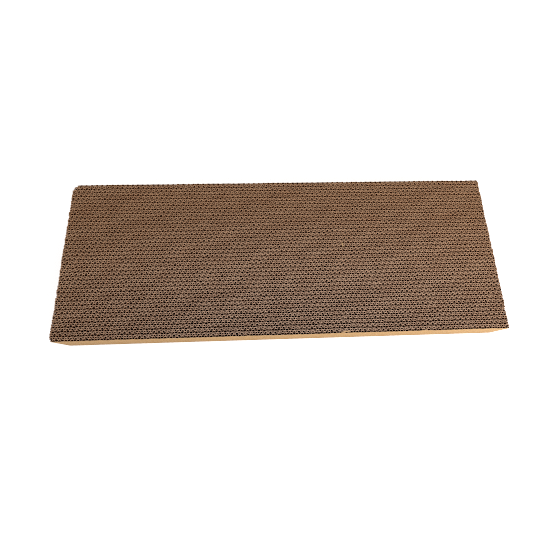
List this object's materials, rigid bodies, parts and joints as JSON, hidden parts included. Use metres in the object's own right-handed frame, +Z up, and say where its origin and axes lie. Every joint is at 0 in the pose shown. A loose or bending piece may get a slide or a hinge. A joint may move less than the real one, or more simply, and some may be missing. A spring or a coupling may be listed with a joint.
{
  "type": "cardboard cat scratcher",
  "caption": "Flat rectangular block of upright corrugated cardboard strips glued face to face, with the open flutes on top for a cat to scratch.",
  "frame": {"origin": "middle of the underside", "axes": "+X along the strips, to the right as seen from the front; +Y from the pale front facing to the back; +Z up, along the flutes"},
  "size_m": [0.6, 0.2258, 0.044],
  "materials": {
    "kraft_facing": "smooth kraft liner, matt",
    "corrugated_board": "cut edges of brown corrugated board, matt and fibrous"
  },
  "bodies": {
    "root": {"front_facing": "kraft_facing", "strip_01": "corrugated_board", "strip_02": "corrugated_board", "strip_03": "corrugated_board", "strip_04": "corrugated_board", "strip_05": "corrugated_board", "strip_06": "corrugated_board", "strip_07": "corrugated_board", "strip_08": "corrugated_board", "strip_09": "corrugated_board", "strip_10": "corrugated_board", "strip_11": "corrugated_board", "strip_12": "corrugated_board", "strip_13": "corrugated_board", "strip_14": "corrugated_board", "strip_15": "corrugated_board", "strip_16": "corrugated_board", "strip_17": "corrugated_board", "strip_18": "corrugated_board", "strip_19": "corrugated_board", "strip_20": "corrugated_board", "strip_21": "corrugated_board", "strip_22": "corrugated_board", "strip_23": "corrugated_board", "strip_24": "corrugated_board", "strip_25": "corrugated_board", "strip_26": "corrugated_board", "strip_27": "corrugated_board", "strip_28": "corrugated_board", "strip_29": "corrugated_board", "strip_30": "corrugated_board", "strip_31": "corrugated_board", "strip_32": "corrugated_board", "strip_33": "corrugated_board", "strip_34": "corrugated_board", "strip_35": "corrugated_board", "strip_36": "corrugated_board", "strip_37": "corrugated_board", "strip_38": "corrugated_board", "strip_39": "corrugated_board", "back_strip": "corrugated_board", "back_facing": "kraft_facing"}
  },
  "joints": []
}
